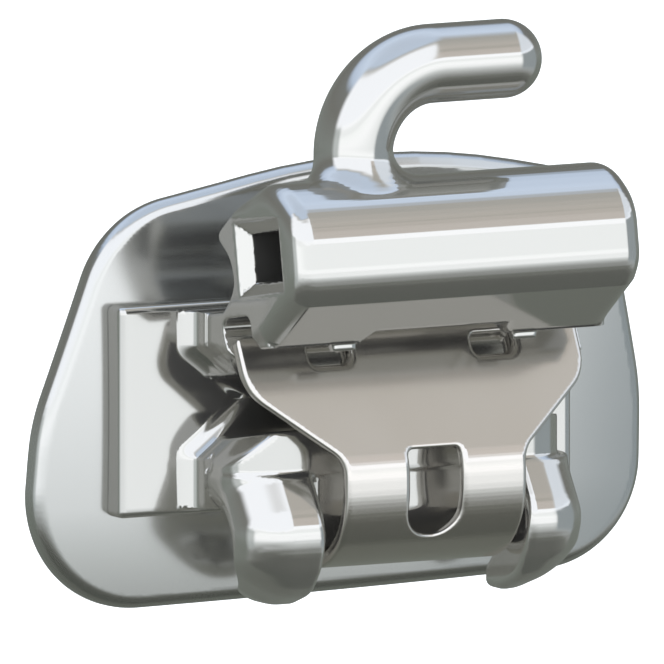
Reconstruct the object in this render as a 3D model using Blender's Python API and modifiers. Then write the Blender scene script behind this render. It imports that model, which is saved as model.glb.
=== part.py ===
"""Orthodontic bracket for a molar, self-ligating, with an auxiliary tube and a post hook.

The bracket is cast as one body: a flat platform, two slot walls, the auxiliary tube, two lower
tie wings and a round hook. It sits on a curved bonding pad, and a thin C-shaped spring clip
closes the archwire slot. The clip slides down and forward to open it.

Lengths are in millimetres under one root empty that scales them to metres. X runs along the
arch, -Y points away from the tooth and +Z towards the gum. The world's origin is the middle of
the pad's bonding face. The root, and so every size below, starts from the middle of the
platform's front face.
"""

import math

import bmesh
import bpy
import numpy as np
from mathutils import Matrix, Vector

MM = 0.001

# Archwire slot and the tilt (torque) that it shares with the auxiliary tube
SLOT_HEIGHT = 0.56
SLOT_FLOOR = 0.05
TORQUE = math.radians(10)
FLARE_ANGLE = math.radians(38)
FLARE_TOP = 0.60
FLARE_BOTTOM = 0.46

# Cast body: the tube is longer than the walls on the right, and the platform stops short there
TUBE_HALF = 1.82
BODY_LEFT = 1.84
BODY_RIGHT = 1.665
BODY_FRONT = 0.825
WALL_BOTTOM = 0.56
WALL_ROUND = 0.10
PLATFORM_LEFT = 2.613
PLATFORM_RIGHT = 2.09
PLATFORM_HALF = 0.98
PLATFORM_ROUND = 0.07
FLANK_FILLET = 0.20
NECK_FRONT = 0.95
NECK_TOP = 0.86
NECK_SLOPE = 0.24

# Auxiliary tube
LUMEN_HEIGHT = 0.457
LUMEN_DEPTH = 0.635
LUMEN_CHAMFER = 0.12
LUMEN_CENTRE = (1.41, 1.31)
TUBE_FRONT = 2.15
TUBE_TOP = 2.03
TUBE_CREST = 1.62
TUBE_HEEL = (0.58, 1.56)
TUBE_WAIST = (0.93, 1.24)
TUBE_UNDER = 0.88
TUBE_ROOT = 0.522
TUBE_END_ROUND = 0.15
TUBE_NOSE_ROUND = 0.26
TUBE_BACK_ROUND = 0.03

# Lip over the clip
LIP_FRONT = 1.33
LIP_BACK = 1.15
LIP_BOTTOM = 0.474
LIP_RELIEF = 0.09
LIP_SHORT = 0.06
RELIEF_HALF = 0.69
STOP_DROP = 0.065
STOP_INNER = 0.84
STOP_OUTER = 1.09

# Tie wings
WING_INNER = 1.0
WING_REACH = 1.27
WING_BOTTOM = 1.79
WING_NOSE = 0.90
WING_TIP_BACK = 0.20
WING_END_ROUND = 0.30
WING_END_SHRINK = 0.25
WING_INNER_ROUND = 0.08
WING_INNER_SHRINK = 0.06

# Hook
HOOK_RADIUS = 0.365
HOOK_X = -0.75
HOOK_FORWARD = 1.05
HOOK_ARM_HEIGHT = 3.20
HOOK_BEND = 0.80
HOOK_REACH = 1.55
HOOK_ROOT = 1.80
HOOK_FLARE = 0.22

# Spring clip
CLIP_THICKNESS = 0.13
CLIP_LEFT = 1.785
CLIP_RIGHT = 1.735
CLIP_NECK_HALF = 0.935
CLIP_TOP = 0.72
CLIP_SLANT = math.atan(0.5)
CLIP_AT_SLOT = 1.07
CLIP_BELLY = 1.30
CLIP_BOTTOM = 1.47
CLIP_SHOULDER = 0.232
CLIP_NECK_TOP = -0.405
CLIP_TAIL_TOP = -0.36
CLIP_EDGE_ROUND = 0.022
CLIP_CLEARANCE = 0.02
SLIDE_ANGLE = math.radians(18.5)
WINDOW_HALF = 0.27
WINDOW_TOP = -0.34
WINDOW_BOTTOM = -1.14
WINDOW_ROUND = 0.06
NOTCH_INNER = 0.63
NOTCH_OUTER = 1.07
NOTCH_BOTTOM = 0.43
NOTCH_TOP = 0.62

# Bonding pad: its outline leans to the left and is lower at the ends than over the tube
PAD_THICKNESS = 0.22
PAD_CREST = 0.12
PAD_RADIUS_X = 30.0
PAD_RADIUS_Z = 30.0
PAD_ROUND = 0.07
PAD_GAP = 0.006
PAD_LEFT = 3.43
PAD_RIGHT = 2.98
PAD_TOP = 2.336
PAD_BOTTOM = 1.90
PAD_TOP_LEFT = (2.567, 1.794)
PAD_TOP_RIGHT = (2.61, 1.85)
PAD_WAIST = 0.11

ARC_STEP = math.radians(15)

# A profile's own axes, forward and up, set in the side plane; an outline's, right and up, in the front
SIDE = Matrix(((0, 0, -1, 0), (-1, 0, 0, 0), (0, 1, 0, 0), (0, 0, 0, 1)))
FRONT = Matrix.Rotation(math.pi / 2, 4, "X")
TILT = Matrix.Translation((0, -SLOT_FLOOR, 0)) @ Matrix.Rotation(-TORQUE, 4, "X")


def clear_scene():
    for obj in list(bpy.data.objects):
        bpy.data.objects.remove(obj, do_unlink=True)


def new_collection(name):
    collection = bpy.data.collections.new(name)
    bpy.context.scene.collection.children.link(collection)
    return collection


def steel(name, colour, roughness):
    material = bpy.data.materials.new(name)
    material.use_nodes = True
    shader = material.node_tree.nodes["Principled BSDF"]
    shader.inputs["Base Color"].default_value = (*colour, 1)
    shader.inputs["Roughness"].default_value = roughness
    shader.inputs["Metallic"].default_value = 1.0
    return material


def rounded(corners, step=ARC_STEP):
    """The outline through (across, up, radius) corners, each turned by an arc of its own radius."""
    points = []
    for i, (x, y, radius) in enumerate(corners):
        here = Vector((x, y))
        before = Vector(corners[i - 1][:2]) - here
        after = Vector(corners[(i + 1) % len(corners)][:2]) - here
        if radius <= 0:
            points.append(tuple(here))
            continue
        opening = before.angle(after)
        reach = radius / math.tan(opening / 2)
        start, end = here + before.normalized() * reach, here + after.normalized() * reach
        centre = here + (before.normalized() + after.normalized()).normalized() * (
            radius / math.sin(opening / 2)
        )
        turn = math.pi - opening
        count = max(1, math.ceil(turn / step))
        first = math.atan2(*(start - centre).yx)
        sweep = (math.atan2(*(end - centre).yx) - first + math.pi) % (2 * math.pi) - math.pi
        for k in range(count + 1):
            angle = first + sweep * k / count
            points.append((centre.x + radius * math.cos(angle), centre.y + radius * math.sin(angle)))
    return points


def new_object(name, mesh, collection, place=Matrix()):
    obj = bpy.data.objects.new(name, mesh)
    collection.objects.link(obj)
    obj.parent = ROOT
    obj.matrix_parent_inverse = Matrix()
    obj.matrix_basis = place
    if collection is TOOLS:
        obj.hide_render = True
        obj.display_type = "WIRE"
    return obj


def prism(name, outline, half, place, collection=None, whole_caps=True):
    """A flat outline filled as a 2D curve, made solid to half on each side, as a mesh."""
    curve = bpy.data.curves.new(name, "CURVE")
    curve.dimensions = "2D"
    curve.fill_mode = "BOTH"
    curve.extrude = half
    spline = curve.splines.new("POLY")
    spline.points.add(len(outline) - 1)
    for point, (x, y) in zip(spline.points, outline):
        point.co = (x, y, 0, 1)
    spline.use_cyclic_u = True
    return as_mesh(name, curve, place, collection, whole_caps)


def as_mesh(name, curve, place, collection=None, whole_caps=True):
    """A curve as a mesh object, with its caps welded to its sides."""
    holder = bpy.data.objects.new(name + "_curve", curve)
    bpy.context.scene.collection.objects.link(holder)
    graph = bpy.context.evaluated_depsgraph_get()
    mesh = bpy.data.meshes.new_from_object(holder.evaluated_get(graph))
    bpy.data.objects.remove(holder, do_unlink=True)
    bpy.data.curves.remove(curve)
    shape = bmesh.new()
    shape.from_mesh(mesh)
    bmesh.ops.remove_doubles(shape, verts=shape.verts, dist=1e-5)
    if whole_caps:
        bmesh.ops.dissolve_limit(
            shape, angle_limit=math.radians(0.5), verts=shape.verts, edges=shape.edges
        )
    bmesh.ops.recalc_face_normals(shape, faces=shape.faces)
    shape.to_mesh(mesh)
    shape.free()
    mesh.name = name
    return new_object(name, mesh, collection or TOOLS, place)


def box(name, low, high, place=Matrix(), collection=None):
    """A cube primitive set between two corners."""
    low, high = Vector(low), Vector(high)
    shape = bmesh.new()
    bmesh.ops.create_cube(shape, size=1)
    bmesh.ops.scale(shape, vec=high - low, verts=shape.verts)
    bmesh.ops.translate(shape, vec=(low + high) / 2, verts=shape.verts)
    mesh = bpy.data.meshes.new(name)
    shape.to_mesh(mesh)
    shape.free()
    return new_object(name, mesh, collection or TOOLS, place)


def loft(name, rings, collection=None, centres=None, place=Matrix()):
    """A closed solid through rings with the same number of points, each end closed on a centre."""
    count = len(rings[0])
    points = [tuple(p) for ring in rings for p in ring]
    faces = []
    for r in range(len(rings) - 1):
        for i in range(count):
            j = (i + 1) % count
            faces.append((r * count + i, r * count + j, (r + 1) * count + j, (r + 1) * count + i))
    if centres is None:
        faces.append(tuple(reversed(range(count))))
        faces.append(tuple(range((len(rings) - 1) * count, len(rings) * count)))
    else:
        points += [tuple(c) for c in centres]
        last = (len(rings) - 1) * count
        for i in range(count):
            j = (i + 1) % count
            faces.append((j, i, len(points) - 2))
            faces.append((last + i, last + j, len(points) - 1))
    mesh = bpy.data.meshes.new(name)
    mesh.from_pydata(points, [], faces)
    shape = bmesh.new()
    shape.from_mesh(mesh)
    bmesh.ops.recalc_face_normals(shape, faces=shape.faces)
    shape.to_mesh(mesh)
    shape.free()
    return new_object(name, mesh, collection or TOOLS, place)


def bevel(obj, width, segments, limit=math.radians(50)):
    modifier = obj.modifiers.new("rounded edges", "BEVEL")
    modifier.width = width
    modifier.segments = segments
    modifier.limit_method = "ANGLE"
    modifier.angle_limit = limit
    modifier.use_clamp_overlap = False
    return modifier


def combine(obj, other, operation):
    modifier = obj.modifiers.new(f"{operation.lower()} {other.name}", "BOOLEAN")
    modifier.operation = operation
    modifier.solver = "EXACT"
    modifier.object = other


def join(obj, *others):
    for other in others:
        combine(obj, other, "UNION")


def cut(obj, *others):
    for other in others:
        combine(obj, other, "DIFFERENCE")


def shade(obj, material):
    obj.data.materials.clear()
    obj.data.materials.append(material)
    obj.data.shade_smooth()
    obj.data.set_sharp_from_angle(angle=math.radians(35))


# The clip's front arm: how far forward its face lies at a height, and its inner face
def arm_front(z):
    return CLIP_AT_SLOT - math.tan(CLIP_SLANT) * z


def arm_back(z):
    return arm_front(z) - CLIP_THICKNESS / math.cos(CLIP_SLANT)


def tilted(forward, up):
    """A point given forward and up of the platform's middle, in the slot's tilted axes."""
    point = TILT.inverted() @ Vector((0, -forward, up))
    return (-point.y, point.z)


def clip_seat():
    """Low and high ends of the face behind the clip's arm, in the slot's axes."""
    low = tilted(arm_back(0) - CLIP_CLEARANCE, 0)
    high = tilted(arm_back(CLIP_TOP) - CLIP_CLEARANCE, CLIP_TOP)
    return low, high


def tube_profile():
    """Auxiliary tube in the slot's axes, forward and up: round nose, sloping top, waisted back."""
    return rounded(
        [
            (TUBE_WAIST[0] - 0.27, TUBE_ROOT + 0.08, 0),
            (LIP_FRONT + 0.004, TUBE_ROOT, 0),
            (TUBE_FRONT - 0.01, TUBE_UNDER, 0.28),
            (TUBE_FRONT, TUBE_TOP - 0.41, 0.45),
            (TUBE_CREST, TUBE_TOP, 0.22),
            (*TUBE_HEEL, 0.08),
            (*TUBE_WAIST, 0.35),
        ]
    )


def tube():
    """The tube's section carried along X, set in at each end by a quarter turn, more at the nose."""
    outline = np.array(tube_profile())
    step = np.roll(outline, -1, axis=0) - np.roll(outline, 1, axis=0)
    inward = np.stack([-step[:, 1], step[:, 0]], axis=1)
    inward /= np.linalg.norm(inward, axis=1)[:, None]
    share = np.clip((outline[:, 0] - TUBE_WAIST[0]) / (TUBE_FRONT - TUBE_WAIST[0]), 0, 1)
    inset = TUBE_BACK_ROUND + (TUBE_NOSE_ROUND - TUBE_BACK_ROUND) * share
    depth = np.minimum(inset, TUBE_END_ROUND)
    rings = []
    for side in (-1, 1):
        for turn in np.radians(np.linspace(90, 0, 6))[::-side]:
            ring = outline + inward * (inset * (1 - np.cos(turn)))[:, None]
            x = side * (TUBE_HALF - depth * (1 - np.sin(turn)))
            rings.append([(a, -d, w) for a, (d, w) in zip(x, ring)])
    return loft("tube", rings, place=TILT)


def neck_profile():
    """Block between the slot and the tube, in the slot's axes."""
    return rounded(
        [
            (-0.10, 0.05, 0),
            (NECK_FRONT, 0.05, 0),
            (NECK_FRONT, NECK_TOP + NECK_SLOPE, 0),
            (NECK_FRONT - NECK_SLOPE * math.sqrt(2), NECK_TOP, 0.08),
            (-0.10, NECK_TOP, 0),
        ]
    )


def lip_profile():
    return rounded(
        [
            (LIP_BACK - 0.02, 0.70, 0),
            (LIP_BACK - 0.02, LIP_BOTTOM, 0.04),
            (LIP_FRONT, LIP_BOTTOM, 0.04),
            (LIP_FRONT, 0.70, 0),
        ]
    )


def clip_space():
    """Room for the clip's arm: in front of its seat, and up into a channel behind the lip."""
    low, high = clip_seat()
    outline = rounded(
        [
            (1.45, 0.0, 0),
            (1.45, 0.30, 0),
            (LIP_BACK, 0.30, 0),
            (LIP_BACK - 0.01, 0.79, 0.10),
            (high[0] - 0.02, 0.79, 0.10),
            (*high, 0.03),
            (*low, 0),
        ]
    )
    return prism("clip_space", outline, TUBE_HALF + 0.2, TILT @ SIDE)


def lower_wall():
    """The slot's lower wall, seen from above a slab with its front corners turned."""
    top, back = 0.10, 0.03
    left, right = 0.01 - BODY_LEFT, BODY_RIGHT - 0.01
    outline = rounded(
        [
            (left, back, 0),
            (left, -BODY_FRONT, WALL_ROUND),
            (right, -BODY_FRONT, WALL_ROUND),
            (right, back, 0),
        ]
    )
    middle = Matrix.Translation((0, 0, (top - WALL_BOTTOM) / 2))
    return prism("lower_wall", outline, (top + WALL_BOTTOM) / 2, middle)


def wing_profile():
    """Tie wing from its root in the wall, over the nose and round the tip, forward and up."""
    return rounded(
        [
            (-0.12, 0.16 - WALL_BOTTOM, 0),
            (BODY_FRONT - 0.03, 0.16 - WALL_BOTTOM, 0),
            (BODY_FRONT + 0.035, -WALL_BOTTOM - 0.01, 0.20),
            (WING_REACH, -WING_NOSE, 0.18),
            (WING_REACH - 0.07, -WING_NOSE - 0.32, 0.50),
            (WING_REACH - 0.34, 0.21 - WING_BOTTOM, 0.50),
            (WING_TIP_BACK + 0.35, 0.02 - WING_BOTTOM, 0.60),
            (WING_TIP_BACK, -WING_BOTTOM - 0.01, 0.08),
            (WING_TIP_BACK + 0.02, 0.19 - WING_BOTTOM, 0.12),
            (WING_TIP_BACK + 0.22, 0.39 - WING_BOTTOM, 0.16),
            (WING_TIP_BACK + 0.20, 0.69 - WING_BOTTOM, 0.30),
            (-0.12, 0.89 - WING_BOTTOM, 0),
        ]
    )


def wing(side):
    """Lower tie wing: its section along X, drawn in towards the wall's foot at both ends."""
    outer = (BODY_LEFT if side < 0 else BODY_RIGHT) - 0.005
    section = np.array(wing_profile())
    middle = np.array((0.35, -WALL_BOTTOM))
    turns = np.radians(np.linspace(0, 90, 6))
    stations = []
    for turn in turns:
        x = WING_INNER + WING_INNER_ROUND * (1 - math.sin(turn))
        stations.append((x, 1 - WING_INNER_SHRINK * (1 - math.cos(turn))))
    stations.reverse()
    for turn in turns:
        x = outer - WING_END_ROUND * (1 - math.sin(turn))
        stations.append((x, 1 - WING_END_SHRINK * (1 - math.cos(turn))))
    stations.sort()
    rings = []
    for x, share in stations:
        ring = middle + (section - middle) * share
        rings.append([(side * x, -f, z) for f, z in ring])
    return loft("wing_left" if side < 0 else "wing_right", rings)


def keel_profile():
    """Middle of the body under the slot, which the clip wraps round."""
    return rounded(
        [
            (-0.03, 0.10, 0),
            (BODY_FRONT - 0.01, 0.10, 0),
            (BODY_FRONT - 0.01, -0.95, 0.15),
            (0.66, -1.29, 0.10),
            (0.36, -1.31, 0.05),
            (-0.03, -0.97, 0),
        ]
    )


def flank_path(side, offset):
    """A flank from bottom to top, set off outwards: the left one turns into the flare and out again."""
    low, high = PLATFORM_ROUND - PLATFORM_HALF, PLATFORM_HALF - PLATFORM_ROUND
    if side > 0:
        wall, tube_end = BODY_RIGHT + offset, TUBE_HALF + offset
        edge = SLOT_HEIGHT / 2 - 0.05
        return [(wall, low), (wall, -edge), ((wall + tube_end) / 2, 0), (tube_end, edge), (tube_end, high)]
    x = -BODY_LEFT
    tangent = math.tan(FLARE_ANGLE)
    corner = offset * math.tan((math.pi / 2 - FLARE_ANGLE) / 2)
    apex_z = (FLARE_TOP - FLARE_BOTTOM) / 2
    apex_x = x + (FLARE_TOP + FLARE_BOTTOM) / 2 / tangent - offset / math.sin(FLARE_ANGLE)
    return [
        (x - offset, low),
        (x - offset, -FLARE_BOTTOM + corner),
        (apex_x, apex_z),
        (x - offset, FLARE_TOP - corner),
        (x - offset, high),
    ]


def skirt(side):
    """Concave fillet between the platform and a flank, carried along the flank's path."""
    rings = []
    for k in range(7):
        angle = math.pi / 2 * k / 6
        offset = FLANK_FILLET * (1 - math.sin(angle))
        height = FLANK_FILLET * (1 - math.cos(angle))
        path = flank_path(side, offset)
        path = path + [(0.9 * side, path[-1][1]), (0.9 * side, path[0][1])]
        rings.append([(x, -height, z) for x, z in path])
    foot = [(x, 0.05, z) for x, _, z in rings[0]]
    name = "skirt_left" if side < 0 else "skirt_right"
    return loft(name, [foot] + rings)


def flare_cutter():
    """Wedge that opens the left end of the slot."""
    apex = BODY_LEFT - (FLARE_TOP + FLARE_BOTTOM) / 2 / math.tan(FLARE_ANGLE)
    more = 0.3
    spread = more * math.tan(FLARE_ANGLE)
    outline = [
        (-BODY_LEFT - more, -FLARE_BOTTOM - spread),
        (-BODY_LEFT - more, FLARE_TOP + spread),
        (-apex, (FLARE_TOP - FLARE_BOTTOM) / 2),
    ]
    return prism("flare", outline, 1.2, Matrix.Translation((0, -1.2, 0)) @ FRONT)


def lumen_cutters():
    """Rectangular bore and its two funnel-shaped mouths."""
    d, w = LUMEN_CENTRE
    half_d, half_w = LUMEN_DEPTH / 2, LUMEN_HEIGHT / 2
    x = TUBE_HALF
    bore = box(
        "lumen", (-x - 0.2, -d - half_d, w - half_w), (x + 0.2, -d + half_d, w + half_w), TILT
    )
    mouths = []
    for side in (-1, 1):
        over = 0.05
        rings = []
        for depth in (LUMEN_CHAMFER, -over):
            grow = LUMEN_CHAMFER - depth
            a, b = half_d + grow, half_w + grow
            rings.append(
                [
                    (side * (x - depth), -d + s * a, w + t * b)
                    for s, t in ((-1, -1), (1, -1), (1, 1), (-1, 1))
                ]
            )
        name = "mouth_left" if side < 0 else "mouth_right"
        mouths.append(loft(name, rings, place=TILT))
    return [bore] + mouths


def slot_cutter():
    half, end = SLOT_HEIGHT / 2, PLATFORM_LEFT + 0.2
    return box("slot", (-end, -1.6, -half), (end, 0, half), TILT)


def lip_cutter():
    """Relief in the middle of the lip, from one stop to the other."""
    base = LIP_BOTTOM - STOP_DROP
    relief = [
        (-STOP_INNER, base - 0.1),
        (-STOP_INNER, base),
        (-RELIEF_HALF, LIP_BOTTOM + LIP_RELIEF),
        (RELIEF_HALF, LIP_BOTTOM + LIP_RELIEF),
        (STOP_INNER, base),
        (STOP_INNER, base - 0.1),
    ]
    middle = (LIP_FRONT + LIP_BACK) / 2
    place = TILT @ Matrix.Translation((0, -middle, 0)) @ FRONT
    return prism("lip_relief", relief, (LIP_FRONT - LIP_BACK) / 2 + 0.17, place)


def lip_stops():
    """Two small stops under the lip, which stand in the clip's notches."""
    stops = []
    for side in (-1, 1):
        outline = rounded(
            [
                (side * (STOP_INNER - 0.02), LIP_BOTTOM + 0.06, 0),
                (side * (STOP_INNER - 0.02), LIP_BOTTOM - STOP_DROP, 0.02),
                (side * (STOP_OUTER - 0.04), LIP_BOTTOM - STOP_DROP, 0.03),
                (side * STOP_OUTER, LIP_BOTTOM + 0.06, 0),
            ]
        )
        middle = (LIP_FRONT + LIP_BACK) / 2 + 0.01
        place = TILT @ Matrix.Translation((0, -middle, 0)) @ FRONT
        name = "stop_left" if side < 0 else "stop_right"
        stops.append(prism(name, outline, (LIP_FRONT - LIP_BACK) / 2 - 0.023, place))
    return stops


def tube_top(forward):
    """Height of the tube's upper side, from its profile, at distances forward of the platform."""
    d, w = np.array([point for point in tube_profile() if point[1] > TUBE_HEEL[1]]).T
    line_forward = d * math.cos(TORQUE) - w * math.sin(TORQUE) + SLOT_FLOOR
    line_up = d * math.sin(TORQUE) + w * math.cos(TORQUE)
    order = np.argsort(line_forward)
    return np.interp(forward, line_forward[order], line_up[order])


def hook_foot():
    """Fillet at the post's root: rings that follow the tube's upper side and rise by a quarter turn."""
    around = np.radians(np.arange(0, 360, 12))
    turns = np.radians(np.linspace(0, 90, 7))
    steps = [(0, -0.08)] + [(turn, 0.004 + HOOK_FLARE * (1 - math.cos(turn))) for turn in turns]
    rings = []
    for turn, rise in steps:
        reach = HOOK_RADIUS - 0.01 + HOOK_FLARE * (1 - math.sin(turn))
        x = HOOK_X + reach * np.cos(around)
        forward = HOOK_FORWARD + reach * np.sin(around)
        rings.append(list(zip(x, -forward, tube_top(forward) + rise)))
    return loft("hook_foot", rings)


def hook():
    """Round post and arm as one swept rod with a round end."""
    radius, bend = HOOK_RADIUS, HOOK_BEND
    stations = [(0, HOOK_ROOT, 1)]
    for k in range(13):
        angle = math.pi / 2 * k / 12
        stations.append(
            (bend * (1 - math.cos(angle)), HOOK_ARM_HEIGHT - bend * (1 - math.sin(angle)), 1)
        )
    for k in range(9):
        angle = math.pi / 2 * k / 8 * 0.985
        stations.append((HOOK_REACH + radius * math.sin(angle), HOOK_ARM_HEIGHT, math.cos(angle)))
    curve = bpy.data.curves.new("hook", "CURVE")
    curve.dimensions = "3D"
    curve.bevel_depth = radius
    curve.bevel_resolution = 6
    curve.use_fill_caps = True
    spline = curve.splines.new("POLY")
    spline.points.add(len(stations) - 1)
    for point, (x, z, share) in zip(spline.points, stations):
        point.co = (HOOK_X + x, -HOOK_FORWARD, z, 1)
        point.radius = share
    return as_mesh("hook", curve, Matrix())


def tail_line():
    """The clip's tail: the corner at its foot and the direction up it, forward and up."""
    foot = (0.40, -CLIP_BOTTOM)
    return foot, (-math.sin(SLIDE_ANGLE), math.cos(SLIDE_ANGLE))


def clip_path():
    """Outer face of the clip from its top edge round to the end of its tail, forward and up."""
    foot, (df, du) = tail_line()
    rise = (CLIP_TAIL_TOP - foot[1]) / du
    end = (foot[0] + df * rise, CLIP_TAIL_TOP)
    bend_z = -(CLIP_BELLY - CLIP_AT_SLOT) / math.tan(CLIP_SLANT)
    corners = [
        (arm_front(CLIP_TOP), CLIP_TOP, 0),
        (CLIP_BELLY, bend_z, 0.60),
        (CLIP_BELLY, -CLIP_BOTTOM, 0.78),
        (*foot, 0.16),
        (*end, 0),
    ]
    path = rounded(corners, math.radians(7.5))
    return [q for i, q in enumerate(path) if i == 0 or math.dist(q, path[i - 1]) > 0.01]


def clip_channel():
    """Passage in the body for the clip's tail, parallel to its slide."""
    foot, (df, du) = tail_line()
    gap = CLIP_CLEARANCE
    normal = (du, -df)
    length = (CLIP_TAIL_TOP + gap - foot[1]) / du
    corners = []
    sheet = CLIP_THICKNESS + gap
    for along, across in ((-0.3, -gap), (-0.3, sheet), (length, sheet), (length, -gap)):
        corners.append(
            (foot[0] + df * along + normal[0] * across, foot[1] + du * along + normal[1] * across)
        )
    return prism("clip_channel", corners, CLIP_NECK_HALF + gap, SIDE)


def sheet_outline(path, thickness):
    """Closed outline of a bent sheet, from the line of its outer face."""
    line = np.array(path)
    step = np.diff(line, axis=0)
    normal = np.stack([step[:, 1], -step[:, 0]], axis=1)
    normal /= np.linalg.norm(normal, axis=1)[:, None]
    before = np.vstack([normal[:1], normal])
    after = np.vstack([normal, normal[-1:]])
    mitre = (before + after) / (1 + (before * after).sum(axis=1))[:, None]
    return [tuple(p) for p in line] + [tuple(p) for p in (line + mitre * thickness)[::-1]]


def spring_clip():
    outline = sheet_outline(clip_path(), CLIP_THICKNESS)
    clip = prism("spring_clip", outline, CLIP_LEFT + 0.2, SIDE, PARTS, False)
    for side, end in ((-1, CLIP_LEFT), (1, CLIP_RIGHT)):
        waist = rounded(
            [
                (side * end, CLIP_TOP + 0.2, 0),
                (side * end, CLIP_SHOULDER, 0.40),
                (side * CLIP_NECK_HALF, CLIP_NECK_TOP, 0.25),
                (side * CLIP_NECK_HALF, -CLIP_BOTTOM - 0.3, 0),
                (side * (end + 0.4), -CLIP_BOTTOM - 0.3, 0),
                (side * (end + 0.4), CLIP_TOP + 0.2, 0),
            ]
        )
        name = "waist_left" if side < 0 else "waist_right"
        cut(clip, prism(name, waist, 1.6, Matrix.Translation((0, -0.6, 0)) @ FRONT))
    window = rounded(
        [
            (-WINDOW_HALF, WINDOW_TOP, WINDOW_ROUND),
            (WINDOW_HALF, WINDOW_TOP, WINDOW_ROUND),
            (WINDOW_HALF, WINDOW_BOTTOM, WINDOW_HALF * 0.94),
            (-WINDOW_HALF, WINDOW_BOTTOM, WINDOW_HALF * 0.94),
        ]
    )
    cut(clip, prism("clip_window", window, 0.4, Matrix.Translation((0, -1.3, 0)) @ FRONT))
    for side in (-1, 1):
        notch = rounded(
            [
                (side * NOTCH_INNER, NOTCH_TOP, 0.04),
                (side * NOTCH_OUTER, NOTCH_TOP, 0.04),
                (side * NOTCH_OUTER, NOTCH_BOTTOM, 0.09),
                (side * NOTCH_INNER, NOTCH_BOTTOM, 0.09),
            ]
        )
        name = "notch_left" if side < 0 else "notch_right"
        cut(clip, prism(name, notch, 0.5, Matrix.Translation((0, -0.8, 0)) @ FRONT))
    bevel(clip, CLIP_EDGE_ROUND, 2, math.radians(40))
    shade(clip, CLIP_STEEL)
    return clip


def pad_outline():
    return rounded(
        [
            (-PAD_LEFT, -PAD_BOTTOM, 1.10),
            (0.14 - PAD_LEFT, -PAD_WAIST, 2.0),
            (-PAD_TOP_LEFT[0], PAD_TOP_LEFT[1], 1.10),
            (0.287, PAD_TOP, 7.0),
            (*PAD_TOP_RIGHT, 0.90),
            (PAD_RIGHT, -PAD_WAIST, 2.5),
            (PAD_RIGHT - 0.01, 0.165 - PAD_BOTTOM, 1.0),
        ]
    )


def pad_face(x, z):
    """Y of the pad's front face, curved along both its sides."""
    return PAD_CREST + x * x / (2 * PAD_RADIUS_X) + z * z / (2 * PAD_RADIUS_Z)


def bonding_pad():
    """Curved plate with a round rim: rings of the outline, over the front, the rim and the back."""
    outline = np.array(pad_outline())
    centre = outline.mean(axis=0)
    step = np.roll(outline, -1, axis=0) - np.roll(outline, 1, axis=0)
    inward = np.stack([-step[:, 1], step[:, 0]], axis=1)
    inward /= np.linalg.norm(inward, axis=1)[:, None]
    if ((centre - outline) * inward).sum() < 0:
        inward = -inward
    rim = []
    for k in range(5):
        angle = math.pi / 2 * k / 4
        rim.append((PAD_ROUND * (1 - math.sin(angle)), PAD_ROUND * (1 - math.cos(angle))))
    rim += [(inset, PAD_THICKNESS - depth) for inset, depth in reversed(rim[1:])]
    shares = (0.25, 0.5, 0.75, 0.93)
    rings = []
    first = outline + inward * PAD_ROUND
    for share in shares:
        ring = centre + (first - centre) * share
        rings.append([(x, pad_face(x, z), z) for x, z in ring])
    for inset, depth in rim:
        ring = outline + inward * inset
        rings.append([(x, pad_face(x, z) + depth, z) for x, z in ring])
    for share in reversed(shares):
        ring = centre + (first - centre) * share
        rings.append([(x, pad_face(x, z) + PAD_THICKNESS, z) for x, z in ring])
    middle = pad_face(*centre)
    ends = [(centre[0], middle, centre[1]), (centre[0], middle + PAD_THICKNESS, centre[1])]
    pad = loft("bonding_pad", rings, PARTS, ends)
    shade(pad, PAD_STEEL)
    return pad


def pad_space():
    """Everything behind the pad's front face and its seam, which the body's back is fitted to."""
    rings = []
    for x in np.linspace(-3, 3, 17):
        front = [(x, pad_face(x, z) - PAD_GAP, z) for z in np.linspace(-1.5, 1.5, 9)]
        rings.append(front + [(x, y + 1, z) for x, y, z in reversed(front)])
    return loft("pad_space", rings)


def bracket_body():
    body = prism("bracket_body", keel_profile(), WING_INNER + 0.02, SIDE, PARTS)
    wall = lower_wall()
    lip = prism("lip", lip_profile(), TUBE_HALF - LIP_SHORT, TILT @ SIDE)
    bevel(lip, 0.05, 3)
    neck_shift = Matrix.Translation(((TUBE_HALF - BODY_LEFT) / 2, 0, 0))
    neck = prism("neck", neck_profile(), (TUBE_HALF + BODY_LEFT) / 2 - 0.005, neck_shift @ TILT @ SIDE)
    join(body, wall, neck, tube(), lip, wing(-1), wing(1))
    cut(body, clip_space(), flare_cutter())
    platform = box(
        "platform",
        (-PLATFORM_LEFT, 0, -PLATFORM_HALF),
        (PLATFORM_RIGHT, 0.6, PLATFORM_HALF),
    )
    bevel(platform, PLATFORM_ROUND, 4)
    join(body, platform, skirt(-1), skirt(1), hook_foot(), hook())
    cut(body, slot_cutter(), *lumen_cutters(), clip_channel(), lip_cutter())
    join(body, *lip_stops())
    cut(body, pad_space())
    weld = body.modifiers.new("close slivers", "WELD")
    weld.merge_threshold = 0.0001
    shade(body, BODY_STEEL)
    return body


clear_scene()
PARTS = new_collection("orthodontic_bracket")
TOOLS = new_collection("cutters")
ROOT = bpy.data.objects.new("orthodontic_bracket_root", None)
ROOT.scale = (MM, MM, MM)
ROOT.location = (0, -(PAD_CREST + PAD_THICKNESS) * MM, 0)
PARTS.objects.link(ROOT)
PAD_STEEL = steel("pad steel", (0.62, 0.64, 0.65), 0.16)
BODY_STEEL = steel("body steel", (0.62, 0.63, 0.62), 0.12)
CLIP_STEEL = steel("clip steel", (0.66, 0.62, 0.58), 0.22)

bonding_pad()
bracket_body()
spring_clip()
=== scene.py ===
# Orthodontic bracket: the dressed model, its studio and its camera
import math

import bpy
import numpy as np
from mathutils import Matrix, Vector


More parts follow.
